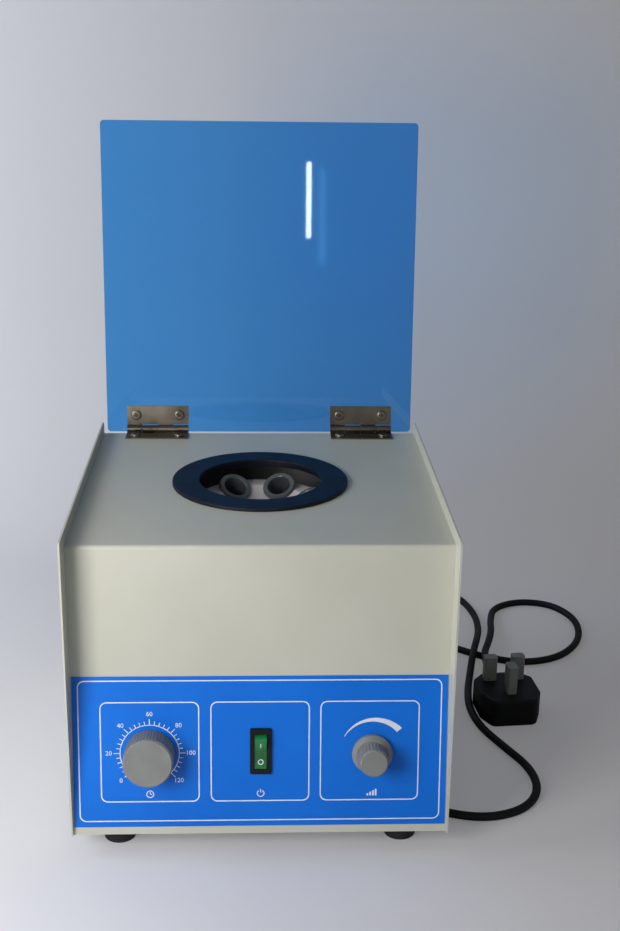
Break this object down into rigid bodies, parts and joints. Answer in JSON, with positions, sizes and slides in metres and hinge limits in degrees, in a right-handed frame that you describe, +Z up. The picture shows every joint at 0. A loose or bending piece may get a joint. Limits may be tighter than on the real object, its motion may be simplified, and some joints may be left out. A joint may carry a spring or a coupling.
{
  "type": "bench centrifuge",
  "caption": "Bench-top angle-rotor centrifuge: folded steel case, hinged blue lid, tilted tube sleeves, timer and speed knobs, rocker switch and mains lead.",
  "frame": {"origin": "on the bench under the middle of the machine with its lid open, leaving out the lead and the plug", "axes": "+Z up, the control face looks towards -Y, +X is to the right of someone who faces the controls"},
  "size_m": [0.4125, 0.4565, 0.4462],
  "materials": {
    "paint": "semi-gloss",
    "label_blue": "satin",
    "navy_trim": "satin",
    "bowl_metal": "satin",
    "rubber": "matt",
    "zinc": "satin",
    "motor_metal": "satin",
    "steel": "satin",
    "copper": "satin",
    "brass": "satin",
    "carbon": "matt",
    "fan_plastic": "matt",
    "rotor_plastic": "satin",
    "sleeve_plastic": "satin",
    "knob_grey": "satin",
    "black_plastic": "satin",
    "rocker_green": "gloss",
    "board_green": "satin",
    "lid_blue": "gloss",
    "nickel": "satin",
    "cord_black": "satin",
    "cap_clear": "satin"
  },
  "bodies": {
    "case": {"left_cheek": "paint", "right_cheek": "paint", "wrap_shell": "paint", "rear_panel": "paint", "base_tray": "paint", "control_label": "label_blue", "opening_ring": "navy_trim", "chamber_bowl": "bowl_metal", "feet": "rubber", "case_screws": "zinc", "motor_plate": "zinc", "plate_dampers": "rubber", "damper_screws": "zinc", "motor_can": "motor_metal", "motor_top_cap": "motor_metal", "motor_bottom_cap": "motor_metal", "motor_bearings": "steel", "field_core": "steel", "field_coils": "copper", "brush_holders": "brass", "carbon_brushes": "carbon", "timer_case": "black_plastic", "speed_pot": "black_plastic", "panel_nuts": "zinc", "switch_housing": "black_plastic", "control_board": "board_green", "triac_heatsink": "motor_metal", "board_standoffs": "zinc", "cord_gland": "black_plastic", "fuse_holder": "black_plastic", "hinge_base_leaves": "nickel", "hinge_pins": "nickel", "hinge_base_screws": "nickel", "mains_cord": "cord_black", "cord_relief": "cord_black", "plug_body": "cord_black", "plug_pins": "brass", "pin_caps": "cap_clear"},
    "rotor": {"spindle_shaft": "steel", "armature_core": "steel", "armature_winding": "copper", "commutator": "copper", "cooling_fan": "fan_plastic", "rotor_head": "rotor_plastic", "rotor_nut": "steel", "sleeve_1": "sleeve_plastic", "sleeve_2": "sleeve_plastic", "sleeve_3": "sleeve_plastic", "sleeve_4": "sleeve_plastic", "sleeve_5": "sleeve_plastic", "sleeve_6": "sleeve_plastic", "sleeve_cushions": "rubber"},
    "lid": {"lid_panel": "lid_blue", "hinge_lid_leaves": "nickel", "lid_fixings": "nickel"},
    "timer_dial": {"timer_knob": "knob_grey", "timer_shaft": "steel"},
    "speed_dial": {"speed_knob": "knob_grey", "speed_shaft": "steel"},
    "power_rocker": {"switch_rocker": "rocker_green"}
  },
  "joints": [
    {"name": "lid_hinge", "type": "hinge", "parent": "case", "child": "lid", "pos_m": [0, 0.12153, 0.2129], "axis": [1, 0, 0], "range_deg": [0, 94.6]},
    {"name": "rotor_spin", "type": "hinge", "parent": "case", "child": "rotor", "pos_m": [0, 0.00303, 0.15], "axis": [0, 0, 1], "continuous": true},
    {"name": "timer_turn", "type": "hinge", "parent": "case", "child": "timer_dial", "pos_m": [-0.0713, -0.12606, 0.07001], "axis": [0, 0.9893, -0.1458], "range_deg": [0, 270]},
    {"name": "speed_turn", "type": "hinge", "parent": "case", "child": "speed_dial", "pos_m": [0.072, -0.12622, 0.06892], "axis": [0, 0.9893, -0.1458], "range_deg": [0, 300]},
    {"name": "power_rock", "type": "hinge", "parent": "case", "child": "power_rocker", "pos_m": [0, -0.12593, 0.0709], "axis": [-1, 0, 0], "range_deg": [0, 24]}
  ]
}
